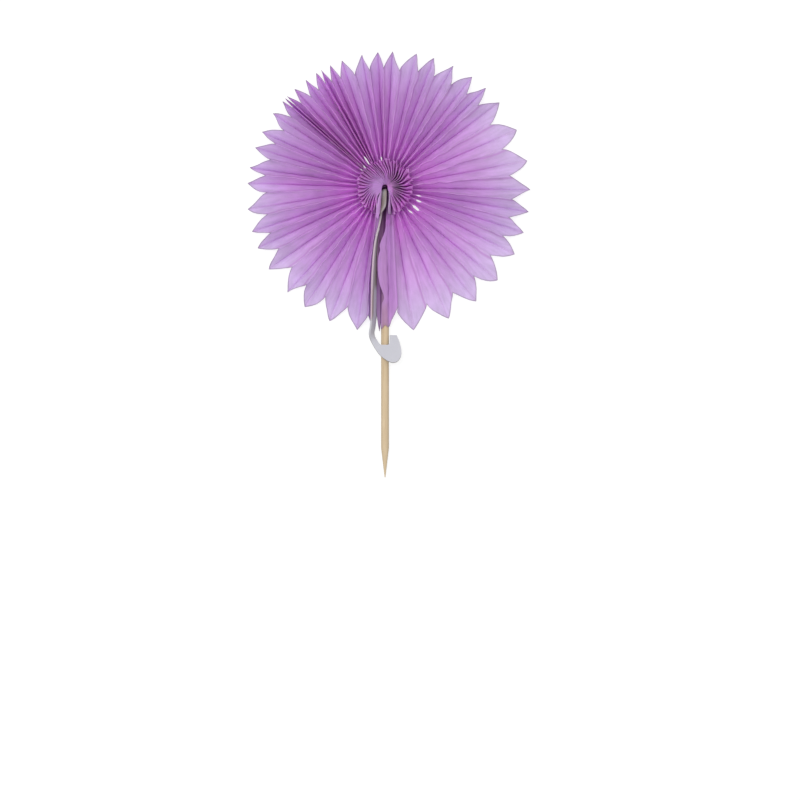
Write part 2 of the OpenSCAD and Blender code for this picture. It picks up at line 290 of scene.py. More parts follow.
def turn_group():
    """Node group: the turn of one fold at a distance from the hub, as fold_turn gives it."""
    tree, given, result = new_group(
        "Fold Turn", "GeometryNodeTree",
        {"Open Turn": 90.0, "Packed Turn": 90.0, "Valley": 0.0, "Distance": 20.0, "Top": 0.0},
        {"Turn": "Float"})
    opened, packed, valley, r, top = (given[k] for k in range(5))

    def side(room):
        return calc("ARCSINE", calc("MINIMUM", room / r, 1.0)) * (180 / pi)

    swung = mix(packed, opened, step(0.0, 10.0, r))
    foot = (r / 50.0) ** 1.6 + 2.95
    head = step(6.0, 37.0, r, 3.1, 5.5)
    # The top edges of the raised ring close in over the stick, as far as the card
    top_right = step(1.0, 3.5, r, 0.9, 1.6)
    top_left = step(1.0, 5.0, r, 1.1, 2.7) + step(5.0, 10.0, r, 0.0, 0.5)
    right = side(mix(RIGHT_ROOM, top_right, top))
    left = side(mix(mix(head, foot, valley), top_left, top))
    right_rim = room_turn(RIGHT_ROOM, RIM_R)
    left_rim = mix(room_turn(head_room(RIM_R), RIM_R), room_turn(foot_room(RIM_R), RIM_R), valley)
    reach = step(2.0, 10.0, r, 200.0, 60.0)
    turn = (swung + (right - right_rim) * (1.0 - step(0.0, reach, swung))
            - (left - left_rim) * step(360.0 - reach, 360.0, swung))
    feed(result, "Turn", turn)
    return tree


FAN_INPUTS = {
    "Folds": "Geometry", "Hub Hole": 1.0, "Ring Radius": 10.0, "Glue Pitch": 5.6, "Leaf Point": 6.5,
    "Slit Dip": 1.3, "Fold Curl": 0.85, "Seed": 3.0, "Tissue": "Material"}
# Width of the finer rows of faces just outside the ring, in millimetres
MIDDLE_BAND = 6.0
# Blocks of the leaf's pattern: points along the leaf, points across it, and the middle of the block
LEAF_BLOCKS = [(15, 7, 0.5, 0.5), (11, 7, 1.5, 0.5), (19, 7, 2.5, 0.5), (15, 5, 0.5, 1.5)]


def leaf_pattern(tree):
    """The flat pattern of one leaf: its panel, and the second width that it has in the raised ring.

    Across the pattern is the station from the hub, 0 to 3, and up it is the place between the folds, where
    0 is the back valley, 1 the front ridge and 2 the top of the ring."""
    join = add(tree, "GeometryNodeJoinGeometry")
    for run, rise, x, y in LEAF_BLOCKS:
        grid = add(tree, "GeometryNodeMeshGrid", Size_X=1, Size_Y=1, Vertices_X=run, Vertices_Y=rise)
        feed(join, 0, add(tree, "GeometryNodeTransform", Geometry=grid, Translation=(x, y, 0)))
    merged = add(tree, "GeometryNodeMergeByDistance", Geometry=join, Distance=0.001)
    place = add(tree, "ShaderNodeSeparateXYZ", add(tree, "GeometryNodeInputPosition"))
    return keep(keep(merged, "station", place["X"]), "leaf_width", place["Y"])


def keep(geometry, name, value):
    """Keep a number on the points under a name."""
    return add(tree_of(geometry), "GeometryNodeStoreNamedAttribute", data_type="FLOAT", domain="POINT",
               Geometry=geometry, Name=name, Value=value)


def kept(tree, name):
    return add(tree, "GeometryNodeInputNamedAttribute", data_type="FLOAT", Name=name)


def fan_tree():
    """Geometry Nodes tree: one leaf pattern on each fold, folded to its place between its two folds."""
    tree, given, result = new_group("Tissue Fan", "GeometryNodeTree", FAN_INPUTS, {"Geometry": "Geometry"})
    hub_r, ring_r, pitch, seed = (given[label] for label in ("Hub Hole", "Ring Radius", "Glue Pitch", "Seed"))

    # One pattern on each fold but the two outer ones
    index = add(tree, "GeometryNodeInputIndex")
    folds = keep(given["Folds"], "leaf", index)
    inner = calc("GREATER_THAN", index, 0.5) * calc("LESS_THAN", index, LAST_FOLD + 0.5)
    spread = add(tree, "GeometryNodeInstanceOnPoints", Points=folds, Selection=inner,
                 Instance=leaf_pattern(tree))
    leaves = add(tree, "GeometryNodeRealizeInstances", spread)

    # The leaf runs between fold `leaf` and the next one, and the front ridge is the even one of the two
    leaf = kept(tree, "leaf")
    odd = calc("PINGPONG", leaf + 1.0, 1.0)
    station, width = kept(tree, "station"), kept(tree, "leaf_width")
    lean = calc("PINGPONG", width, 1.0)
    panel, tab = within(width), within(width - 1.0)
    side = 1.0 - odd * 2.0

    def fold_value(name, shift):
        return add(tree, "GeometryNodeSampleIndex", data_type="FLOAT", domain="POINT", clamp=True,
                   Geometry=folds, Value=kept(tree, name), Index=leaf + float(shift))

    def ridge_and_valley(name):
        a, b = fold_value(name, 0), fold_value(name, 1)
        return mix(a, b, odd), mix(b, a, odd)

    tip_ridge, tip_valley = ridge_and_valley("tip")
    point_ridge, point_valley = ridge_and_valley("point")
    number_ridge, number_valley = ridge_and_valley("leaf")
    slit, slit_start, slit_length, closed = (
        ridge_and_valley(name)[0] for name in ("slit", "slit_start", "slit_length", "closed"))
    open_valley, packed_valley = (ridge_and_valley(name)[1] for name in ("open_turn", "packed_turn"))

    # Beside a line of glue the leaf stands nearly upright, and half way it leans over. It does so most
    # near the ring, where the pleats are narrow
    beyond = step(0.85, 1.1, station)
    curl = given["Fold Curl"] * mix(0.3, step(1.0, 2.4, station, 0.5, 0.35), beyond)
    across = lean - curl * calc("SINE", lean * (2 * pi)) / (2 * pi)

    # Distance from the hub. The leaf's end runs from the notch at the ridge to the point at the valley
    point = given["Leaf Point"] * mix(point_valley, point_ridge, panel)
    end = mix(tip_valley, tip_ridge, panel) - point * (1.0 - (1.0 - across) ** 0.88)
    uneven = waves((number_ridge * 3.7, number_valley * 2.3, seed)) * 2.2 - 0.2
    hole = hub_r * step(0.0, 1.0, width, 0.15, 1.0)
    r = (hole + (ring_r - hole + uneven * tab) * within(station)
         + MIDDLE_BAND * within(station - 1.0) + (end - ring_r - MIDDLE_BAND) * within(station - 2.0))

    # Turns of the four folds round the leaf
    group = turn_group()

    def turn_of(opened, packed, valley, top):
        return add(tree, "GeometryNodeGroup", opened, packed, valley, r, top, node_tree=group)

    turns = [turn_of(fold_value("open_turn", shift), fold_value("packed_turn", shift),
                     odd if shift in (0, 2) else 1.0 - odd, 0.0) for shift in (-1, 0, 1, 2)]
    turn_top = turn_of(open_valley, packed_valley, 1.0, 1.0)
    to_radians = pi / 180
    first_gap, second_gap = ((turns[k + 2] - turns[k]) * r * (to_radians / 2) for k in (0, 1))
    ridge_gap, valley_gap = mix(first_gap, second_gap, odd), mix(second_gap, first_gap, odd)
    turn_ridge = mix(turns[1], turns[2], odd)
    # Towards its end the ring's top edge bends over to the next ridge
    next_ridge = mix(turns[3], turns[2], odd)
    bend = (step(6.0, 10.6, r) * calc("LESS_THAN", number_valley, FIRST_LAP_FOLD)
            * (waves((number_valley * 5.9, 4.0, seed)) * 0.25 + 0.5))
    turn_valley = mix(mix(turns[2], turns[1], odd), mix(turn_top, next_ridge, bend), tab)

    # A leaf keeps its width however far it is spread, so a wide pleat is a low one
    def rise(gap):
        return calc("SQRT", calc("MAXIMUM", pitch * pitch - gap * gap, pitch * pitch * 0.02))

    ridge_z = rise(ridge_gap)
    top_z = rise(valley_gap) * 2.0
    open_depth = calc("MAXIMUM", step(-1.6, 5.4, r - closed) * (1.0 - closed * 0.07),
                      step(5.0, 9.4, r))
    ridge_z = mix(top_z - 0.15, ridge_z, open_depth)

    wander_ridge = waves((number_ridge * 5.3, r / 4.2, seed))
    wander_valley = waves((number_valley * 4.1, r / 9.0, seed + 7.0))
    wander_top = waves((number_valley * 6.7, r / 2.6, seed + 13.0))
    near_ring = step(4.0, 9.0, r) * (1.0 - step(15.0, 30.0, r))
    room = calc("MINIMUM", ridge_gap, 2.0) / 2.0
    flat = 1.0 - tab
    shift = (wander_ridge * (near_ring * 0.6 + 0.36) * room * lean * flat
             + wander_valley * (near_ring * 0.2 + 0.12) * room * (1.0 - lean) * flat
             + wander_top * step(2.0, 8.0, r) * room * 0.55 * tab)
    bulge = waves((leaf * 2.9, r / 11.0, seed + 3.0))
    shift = shift + bulge * calc("SINE", lean * pi) * calc("MINIMUM", ridge_gap, 4.0) * 0.34
    shift = shift + side * (lean * 2.0 - 1.0) * 0.02

    # Slits in the front line of glue, where the two leaves part and dip
    open_here = (step(0.0, 0.9, r - slit_start)
                 * (1.0 - step(-0.7, 0.2, r - slit_start - slit_length)))
    part = slit * open_here * step(0.45, 1.0, lean) * flat
    shift = shift + side * part * 0.32
    slump = step(5.8, 10.4, r + wander_top) * 3.4
    height = ridge_z * panel + (top_z - slump - ridge_z) * tab
    height = height - part * given["Slit Dip"]
    tip_lift = waves((number_valley * 8.9, seed, 0.5)) + 0.7
    near_tip = step(-9.0, 0.0, r - tip_valley)
    height = height + calc("MAXIMUM", tip_lift, 0.0) * near_tip * (1.0 - panel) * 0.7
    height = calc("MAXIMUM", height, 0.0)

    turn = mix(turn_valley, turn_ridge, across) * to_radians + shift / r
    place = vector(calc("SINE", turn) * r * MM + HUB.x,
                   calc("COSINE", turn) * r * -MM + HUB.y, height * MM)
    marks = {
        "leaf_distance": r, "leaf_margin": mix(end - r, ring_r - r, tab), "leaf_side": odd,
        "crowded": (1.0 - step(0.025, 0.075, ridge_gap / r)) * calc("LESS_THAN", leaf, FIRST_LAP_FOLD)}
    for name, value in marks.items():
        leaves = keep(leaves, name, value)
    leaves = add(tree, "GeometryNodeSetPosition", Geometry=leaves, Position=place)
    leaves = add(tree, "GeometryNodeSetShadeSmooth", Geometry=leaves)
    feed(result, "Geometry", add(tree, "GeometryNodeSetMaterial", Geometry=leaves, Material=given["Tissue"]))
    return tree


# Meshes

def new_object(name, mesh, *materials):
    thing = bpy.data.objects.new(name, mesh)
    bpy.context.scene.collection.objects.link(thing)
    for material in materials:
        mesh.materials.append(material)
    return thing


def sheet_mesh(name, rows, columns, place):
    """A sheet of faces from a rule that gives the place of row i and column j, both from 0 to 1."""
    mesh = bpy.data.meshes.new(name)
    points = [place(i / rows, j / columns) for i in range(rows + 1) for j in range(columns + 1)]
    wide = columns + 1
    faces = [(i * wide + j, i * wide + j + 1, (i + 1) * wide + j + 1, (i + 1) * wide + j)
             for i in range(rows) for j in range(columns)]
    mesh.from_pydata(points, [], faces)
    mesh.shade_smooth()
    return mesh


def note(mesh, name, values):
    """Keep one number for each point of a mesh under a name that the materials read."""
    layer = mesh.attributes.new(name, "FLOAT", "POINT")
    layer.data.foreach_set("value", values)


def paper_thickness(thing, thickness):
    wall = thing.modifiers.new("Paper", "SOLIDIFY")
    wall.thickness = thickness
    wall.offset = 0


def to_plain_mesh(thing, name):
    """The finished shape of an object with modifiers, as a plain mesh object."""
    bpy.context.view_layer.update()
    done = bpy.data.meshes.new_from_object(thing.evaluated_get(bpy.context.evaluated_depsgraph_get()))
    bpy.data.objects.remove(thing)
    done.name = name
    done.set_sharp_from_angle(angle=radians(50))
    return new_object(name, done)


def closed_skin(name, rings):
    """A closed mesh over rings of places, with a face at both ends."""
    shape = bmesh.new()
    rings = [[shape.verts.new(place) for place in ring] for ring in rings]
    count = len(rings[0])
    for first, second in zip(rings, rings[1:]):
        for k in range(count):
            after = (k + 1) % count
            shape.faces.new((first[k], first[after], second[after], second[k]))
    shape.faces.new(rings[0])
    shape.faces.new(list(reversed(rings[-1])))
    bmesh.ops.recalc_face_normals(shape, faces=shape.faces)
    mesh = bpy.data.meshes.new(name)
    shape.to_mesh(mesh)
    shape.free()
    mesh.shade_smooth()
    return mesh


STICK_AXIS = Vector((HUB.x, HUB.y, (STICK_LOW.z + STICK_HIGH.z) / 2))


def lathe(name, profile, segments, wobble):
    """A turned piece along -Y, from (distance, radius) pairs, with slight unevenness."""
    rings = []
    for y, radius in profile:
        rings.append([])
        for k in range(segments):
            angle = 2 * pi * k / segments
            outward = Vector((cos(angle), 0, sin(angle)))
            uneven = 0.5 + 0.5 * ripple(outward.x * 1.3, outward.z * 1.3, y / 9)
            place = outward * radius * (1 - wobble * uneven) + Vector((0, y, 0))
            rings[-1].append(STICK_AXIS + place * MM)
    mesh = closed_skin(name, rings)
    mesh.set_sharp_from_angle(angle=radians(40))
    return mesh


# Materials

def new_material(name):
    material = bpy.data.materials.new(name)
    material.use_nodes = True
    material.node_tree.nodes.clear()
    return material, material.node_tree


def colour_mix(a, b, amount):
    node = add(tree_of(a, b, amount), "ShaderNodeMix", amount, data_type="RGBA")
    feed(node, 6, a)
    feed(node, 7, b)
    return node[2]


def toned(colour, tone):
    """A colour made lighter or darker by a number."""
    return add(tree_of(colour), "ShaderNodeVectorMath", colour, operation="SCALE", Scale=tone)


def surface(colour, roughness, gloss, relief, strength, depth):
    """A surface with its colour, and a relief that its bump draws to a depth in millimetres."""
    tree = tree_of(colour)
    bump = add(tree, "ShaderNodeBump", Strength=strength, Distance=depth * MM, Height=relief)
    return add(tree, "ShaderNodeBsdfPrincipled", Base_Color=colour, Roughness=roughness,
               Specular_IOR_Level=gloss, Normal=bump)


def shader_value(tree, name):
    return add(tree, "ShaderNodeAttribute", attribute_name=name)["Fac"]


def paper_fibres():
    """Node group: the mottled tone and fine relief that tissue and card both have, built once."""
    name = "Paper Fibres"
    if name in bpy.data.node_groups:
        return bpy.data.node_groups[name]
    tree, given, result = new_group(
        name, "ShaderNodeTree",
        {"Place": "Vector", "Mottle": 0.05, "Fibre Scale": 1800.0, "Mottle Scale": 260.0},
        {"Tone": "Float", "Relief": "Float"})
    fine, broad = (
        add(tree, "ShaderNodeTexNoise", Vector=given["Place"], Scale=given[scale], Detail=detail)
        for scale, detail in (("Fibre Scale", 2.0), ("Mottle Scale", 3.0)))
    feed(result, "Tone", 1.0 + (broad * 0.7 + fine * 0.3 - 0.5) * 2.0 * given["Mottle"])
    feed(result, "Relief", fine * 0.6 + broad * 0.4)
    return tree


def object_place(tree):
    return add(tree, "ShaderNodeTexCoord")["Object"]


def tissue_material(colours, lap=False):
    """Thin dyed tissue, partly see-through: deeper near the hub and paler at the rim, which is painted light
    shining through it, with painted shade in the folds and painted highlights on glued edges.
    """
    material, tree = new_material("Lap Tissue" if lap else "Tissue")
    r, width, margin, leaf, side, crowded, closed = (
        shader_value(tree, name) for name in (
            "leaf_distance", "leaf_width", "leaf_margin", "leaf", "leaf_side", "crowded", "closed"))
    # Painted light: the colour pales from the hub out to the rim, for light shining through the tissue
    if lap:
        colour = colour_mix(colours["lap"], colours["lap_rim"], step(26.0, 46.0, r))
    else:
        colour = colour_mix(colours["hub"], colours["middle"], step(12.0, 28.0, r))
        colour = colour_mix(colour, colours["rim"], step(28.0, 50.0, r))
        # Painted light: where the pleats are narrow the colour is a stronger purple, for the light that
        # bounces between them
        narrow = crowded * step(9.4, 12.0, r) * step(28.0, 46.0, r, 0.65, 0.3)
        colour = colour_mix(colour, colours["narrow"], narrow)
        colour = colour_mix(colours["ring"], colour, step(8.8, 10.4, r))
    paper = add(tree, "ShaderNodeGroup", node_tree=paper_fibres(), Place=object_place(tree), Mottle=0.09)
    outer = step(9.4, 10.2, r)
    inner = 1.0 - outer
    # Where the leaves lie close round the hub they make a paler disc, and beside it they stand open, with
    # painted shade in their cells
    disc = (1.0 - step(-1.6, 2.6, r - closed)) * inner
    loose = (1.0 - step(0.0, 5.0, closed)) * (1.0 - step(2.5, 7.0, r))
    # Deep in a fold lies painted shade, and a glued edge on the front gets a painted highlight
    deep = (1.0 - step(0.0, crowded * 0.4 + 0.14, width)) * outer
    deep = deep * step(26.0, 46.0, r, 1.0, 0.25)
    # Painted shade deep in the ring's cells and along the ring's end
    cell = (1.0 - step(0.1, 0.55, calc("ABSOLUTE", width - 1.0))) * inner * 0.9
    ring_edge = (1.0 - step(0.0, 1.3, margin)) * step(1.02, 1.2, width)
    # Painted highlight on the glued front edges
    crest = step(0.9, 1.0, width) * (1.0 - step(1.0, 1.05, width)) * outer
    # Painted shade beside each ridge, on one side of it
    beside = step(0.72, 0.82, width) * (1.0 - step(0.86, 0.94, width)) * outer
    # Painted highlight on the top edges of the raised ring
    top = step(1.8, 2.0, width) * (1.0 - ring_edge)
    top = top * (1.0 - disc) * step(6.5, 10.0, r, 0.6, 0.15)
    broken = within(waves((leaf * 1.7, r * 0.3, 9.0)) + 0.4)
    edge = (1.0 - step(0.2, 0.8, margin)) * step(20.0, 24.0, r)
    # The fold and cell layers are painted shade and the crest layer a painted highlight
    layers = [
        ("disc", disc), ("fold", deep * (crowded * 0.3 + 0.5)), ("cell", cell * 0.85),
        ("fold", ring_edge * 0.12), ("cell", loose * (0.0 if lap else 0.45)),
        ("fold", step(6.8, 9.4, r) * inner * 0.05), ("fold", beside * side * 0.3),
        ("crest", crest * broken * 0.4 + top), ("edge", edge * 0.65)]
    if lap:
        # In the lap the shade layer is painted shade, in the gaps by the stick and card and along the crease
        layers += [("band", within(shader_value(tree, "over_stick"))),
                   ("shade", within(shader_value(tree, "in_gap")))]
    for name, amount in layers:
        colour = colour_mix(colour, colours[name], amount)
    # Creases from the folding run outwards along each leaf
    creases = waves((leaf * 3.1, width * 5.0, r * 0.16), detail=3.0)
    each = waves((leaf * 7.7, 0.5, 0.5))
    streaks = waves((leaf * 0.55, r * 0.3, 3.0), detail=2.0)
    beyond_ring = step(9.0, 10.6, r) * (1.0 - step(13.0, 18.0, r))
    # Painted light: crowded pleats near the rim, and the tissue just outside the ring where the leaves stay
    # close longer, are made lighter against the shade there. The rest of the tone is mottle, creases and
    # streaks
    tone = (paper["Tone"] + crowded * step(32.0, 44.0, r) * 0.07
            + creases * step(8.0, 20.0, r) * 0.12 + closed * beyond_ring * 0.008
            + streaks * inner * (0.36 - closed * 0.045) + each * (inner * 0.1 + disc * 0.06 + 0.04))
    colour = toned(colour, tone)
    front = surface(colour, 0.9, 0.06, paper["Relief"] + creases * 0.8, 0.5, 0.16)
    glow = add(tree, "ShaderNodeBsdfTranslucent", Color=colour)
    both = add(tree, "ShaderNodeMixShader", 0.3 if lap else 0.55, front, glow)
    add(tree, "ShaderNodeOutputMaterial", Surface=both)
    return material


def card_material(colours):
    """White card with a bare cut edge, and painted shade on its inner face, its inner end and its hook's
    edge.
    """
    material, tree = new_material("White Card")
    paper = add(tree, "ShaderNodeGroup", node_tree=paper_fibres(), Place=object_place(tree), Mottle=0.05,
                Fibre_Scale=2600.0, Mottle_Scale=180.0)
    face = colour_mix(colours["card"], colours["card_shade"], shader_value(tree, "card_shade"))
    colour = colour_mix(face, colours["card_edge"], shader_value(tree, "cut_edge"))
    card = surface(toned(colour, paper["Tone"]), 0.62, 0.35, paper["Relief"], 0.25, 0.05)
    add(tree, "ShaderNodeOutputMaterial", Surface=card)
    return material


def bamboo_material(colours):
    """Plain bamboo: long fibres along the stick, with a few darker bundles and paler, worn patches."""
    material, tree = new_material("Bamboo")
    split = add(tree, "ShaderNodeSeparateXYZ", object_place(tree))
    x, y, z = (split[k] for k in range(3))
    stretched = vector(x, y * 0.035, z)
    broad, fine = waves(stretched, 900.0, 3.0), waves(stretched, 4200.0, 2.0)
    spots = waves((x, y * 0.3, z), 500.0, 2.0)
    colour = colour_mix(colours["bamboo"], colours["bamboo_dark"], within(broad * 0.8 + fine * 0.35 - 0.1))
    colour = colour_mix(colour, colours["bamboo_pale"], within(spots * 0.9 - 0.15))
    wood = surface(colour, 0.58 + broad * 0.06, 0.35, broad * 0.5 + fine * 0.5, 0.4, 0.04)
    add(tree, "ShaderNodeOutputMaterial", Surface=wood)
    return material


def seen(tree):
    """1 for what the camera sees, straight or in gloss and glass, and 0 for what lights the object."""
    path = add(tree, "ShaderNodeLightPath")
    through = calc("MAXIMUM", path["Is Glossy Ray"], path["Is Transmission Ray"])
    return calc("MAXIMUM", path["Is Camera Ray"], through)


def floor_material(shade, glow):
    """A pale floor that is white where the camera sees it and keeps the object's shadow."""
    material, tree = new_material("Pale Floor")
    matt = add(tree, "ShaderNodeBsdfDiffuse", Color=(shade, shade, shade, 1))
    lit = add(tree, "ShaderNodeEmission", Strength=seen(tree) * glow)
    add(tree, "ShaderNodeOutputMaterial", Surface=add(tree, "ShaderNodeAddShader", matt, lit))
    return material


# The card's shape

CARD_T = 0.6
TOP_CLEAR = 0.2
# Where the card steps down from the ring's height to the fan's
CARD_STEP = 9.3
HOOK_TILT = radians(20)
# Where the hook lies on the stick, past the end of the strip
HOOK_BEND = 6.25
STICK_R = (STICK_HIGH.z - STICK_LOW.z) / 2 / MM
FOOT_AWAY = [(0.35,), (0.45,), (0.55,), (0.75,), (1.05,), (1.35,)]
HEAD_LEAN = [(-1.45,), (-1.0,), (1.1,), (1.8,), (1.8,), (1.6,)]
SLOT = STICK_R + TOP_CLEAR
HOOK_OUTER = [
    (-5, -2.2, 5), (-5.2, 0, 4.3), (-5.5, 1.6, 3.2), (-5.45, 3.4, 1.8), (-4.75, 5.4, 0.5), (-3.45, 7.7, 0),
    (-1.7, 10, 0), (1, 12, 0), (3.2, 12.6, 0), (5, 11.6, 0), (5.9, 9.2, 0), (5.4, 6, 0), (4.2, 2.8, 0)]
HOOK_INNER = [
    (-SLOT - 1.8, -2.2, -0.1), (-SLOT - 2.1, 0.1, -0.5), (-SLOT - 2.4, 1.9, -0.5), (-SLOT - 2, 3.5, -0.2),
    (-SLOT - 0.9, 5.1, 0), (-SLOT - 0.15, 6, 0), (-SLOT * 0.6, HOOK_BEND, 0), (0, HOOK_BEND, 0),
    (SLOT * 0.6, HOOK_BEND, 0), (SLOT * 0.92, 5.85, 0), (SLOT, 5.2, 0), (SLOT, 4, 0), (SLOT, 2.8, 0)]


def from_hub(places, r):
    return along(places, 5 * clamp(r / 50))[0]


def foot_x(r):
    return -(STICK_R + TOP_CLEAR + CARD_T / 2 + from_hub(FOOT_AWAY, r))


CARD_COLUMNS = [0, 0.015, 0.12, 0.25, 0.4, 0.55, 0.7, 0.85, 0.985, 1]


def card_rows():
    """Three places for each row across the card, on its front edge, in its middle and on its back edge,
    from the card's inner end to the hook's."""
    rows = []
    inner = [0.8 + 8 * k / 12 for k in range(13)] + [9.1]
    outer = [9.4 + 36.6 * k / 36 for k in range(37)]
    for r in inner + outer:
        foot, lean = foot_x(r), from_hub(HEAD_LEAN, r)
        if r < CARD_STEP:
            # The card's inner end is rounded at both of its upper corners, and curls over to the right
            head = foot - lean * (2 - 0.85 * smooth(6.4, CARD_STEP, r))
            top = 10.92 - 1.5 * (1 - smooth(0, 1.0, min(r - 0.8, 9.1 - r) + 0.15))
            middle = (mix(head, foot, 0.75), -r, top * 0.88)
        else:
            head, top = foot - lean, 5.6
            middle = ((head + foot) / 2, -r, 2.9)
        rows.append(((head, -r, top), middle, (foot, -r, TOP_CLEAR)))
    hook_z = 2 * STICK_R + TOP_CLEAR + CARD_T / 2 / cos(HOOK_TILT)
    for k in range(12 * 4 + 1):
        pair = []
        for route in (HOOK_OUTER, HOOK_INNER):
            x, past, over = along(route, k / 4)
            height = hook_z + (past - HOOK_BEND) * tan(HOOK_TILT) + over
            pair.append((x, -50 - past, max(TOP_CLEAR, height)))
        middle = tuple((a + b) / 2 for a, b in zip(*pair))
        rows.append((pair[0], middle, pair[1]))
    return rows


def card_mesh():
    """The card as a thick strip, with its cut edges and the painted shade of its inner face noted on its
    points.
    """
    rows = [[Vector(p) for p in row] for row in card_rows()]
    rings, cut, shade = [], [], []
    for k, (head, middle, foot) in enumerate(rows):
        before, after = rows[max(k - 1, 0)], rows[min(k + 1, len(rows) - 1)]
        run = after[0] + after[2] - before[0] - before[2]
        front, back = [], []
        for t in CARD_COLUMNS:
            ahead, behind = (1 - t) ** 2, t ** 2
            place = head * ahead + middle * (1 - ahead - behind) + foot * behind
            slope = (middle - head) * (1 - t) + (foot - middle) * t
            half = run.cross(-slope).normalized() * CARD_T / 2
            front.append(place + half)
            back.insert(0, place - half)
        rings.append([at_hub(*p) for p in front + back])
        r = -middle.y
        for t in CARD_COLUMNS + CARD_COLUMNS[::-1]:
            end = k == 0 or r > 47
            bare = mix(0.35, 0.6, smooth(8, 12, r)) + 0.2 * smooth(17, 28, r)
            cut.append(0.0 if end or 0 < t < 1 else bare)
            # Painted shade on the face that looks at the stick: darker towards its foot, and near the hook
            # darker just below its top edge
            far = smooth(8, 11, r) * (1 - smooth(45, 48, r))
            near_hook = smooth(34, 38, r)
            deep = mix(0.45 + 0.75 * t, 1.1 - 1.6 * smooth(0.1, 0.5, t), near_hook)
            # Painted shade at the card's inner end, on its end face and towards the step, with streaks along
            # it
            inner_end = 0.85 if k == 0 else 0.72 + 0.28 * sin(t * 44 + r * 0.5) + 0.4 * smooth(6.5, 9, r)
            # Painted shade along the hook's front edge
            hook_edge = mix(0.15, 0.55, smooth(52, 56, r)) if t == 0 and r > 47 else 0
            shade.append(clamp(mix(inner_end, deep, far) if r < 10 else max(deep * far, hook_edge)))
    mesh = closed_skin("card_clasp_sheet", rings)
    note(mesh, "cut_edge", cut)
    note(mesh, "card_shade", shade)
    return mesh


# Properties

def length_property(name, description, default, low, high):
    """A length, whose numbers are given in millimetres."""
    return bpy.props.FloatProperty(name=name, description=description, default=default * MM,
                                   min=low * MM, max=high * MM, unit="LENGTH", subtype="DISTANCE")


class FanPickSizes(bpy.types.PropertyGroup):
    """Sizes that a user would change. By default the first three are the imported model's."""
    ring_radius: length_property("Ring Radius", "Radius of the raised ring round the hub", 10, 8, 13)
    glue_pitch: length_property(
        "Glue Pitch", "Distance between two lines of glue, across a leaf", 5.6, 5.2, 8)
    leaf_point: length_property(
        "Leaf Point", "Length of a leaf's pointed end, from the notch to the tip", 6.5, 3, 10)
    tissue_thickness: length_property(
        "Tissue Thickness", "Thickness of one leaf of tissue", 0.045, 0.02, 0.1)
    card_bevel: length_property(
        "Card Edge Wear", "Width of the worn rounding along the card's cut edges", 0.06, 0, 0.2)


def tint(name, where, default):
    return bpy.props.FloatVectorProperty(
        name=name, description="Colour " + where, default=default, size=3, min=0, max=1, subtype="COLOR")


class FanPickColours(bpy.types.PropertyGroup):
    """Colours of the three materials."""
    # From Hub Tissue out to Rim Tissue, and from Lap Tissue to Lap Rim, the paling is painted light shining
    # through the tissue
    hub: tint("Hub Tissue", "of the tissue near the hub", (0.95, 0.61, 0.98))
    ring: tint("Ring Tissue", "of the raised ring", (0.93, 0.57, 0.95))
    # Painted light: the stronger purple of narrow pleats
    narrow: tint("Narrow Pleats", "where the pleats are narrow", (1.0, 0.54, 0.99))
    disc: tint("Hub Disc", "of the leaves that lie close round the hub", (0.79, 0.49, 0.88))
    middle: tint("Middle Tissue", "of the tissue half way out", (0.86, 0.61, 0.92))
    rim: tint("Rim Tissue", "of the tissue at the rim", (0.82, 0.7, 0.91))
    lap: tint("Lap Tissue", "of the sheets that lie over the stick", (0.71, 0.39, 0.81))
    lap_rim: tint("Lap Rim", "of those sheets at the rim", (0.83, 0.6, 0.9))
    # Fold and Ring Cell are painted shade
    fold: tint("Fold", "deep in the folds", (0.62, 0.22, 0.66))
    cell: tint("Ring Cell", "deep in the ring's open cells", (0.72, 0.18, 0.72))
    # Ridge Edge is a painted highlight
    crest: tint("Ridge Edge", "of a glued edge on the front", (0.97, 0.74, 1.0))
    edge: tint("Cut Edge", "of a leaf's cut edge", (0.5, 0.42, 0.54))
    band: tint("Over Stick", "where the stick shows through", (0.58, 0.33, 0.47))
    # Gap is painted shade
    shade: tint("Gap", "deep between the stick and the card", (0.13, 0.03, 0.15))
    card: tint("Card", "of the card's faces", (0.61, 0.61, 0.665))
    # Card Shade is painted shade
    card_shade: tint("Card Shade", "of the card's handled inner face", (0.3, 0.26, 0.22))
    card_edge: tint("Card Edge", "of the card's cut edge", (0.62, 0.46, 0.56))
    bamboo: tint("Bamboo", "of the stick", (0.69, 0.54, 0.35))
    bamboo_dark: tint("Bamboo Fibres", "of its darker fibres", (0.5, 0.32, 0.17))
    bamboo_pale: tint("Bamboo Wear", "of its paler, sanded places", (0.82, 0.66, 0.46))


def colour_table():
    colours = bpy.context.scene.fan_pick_colours
    return {name: (*getattr(colours, name), 1) for name in FanPickColours.__annotations__}


# Operators

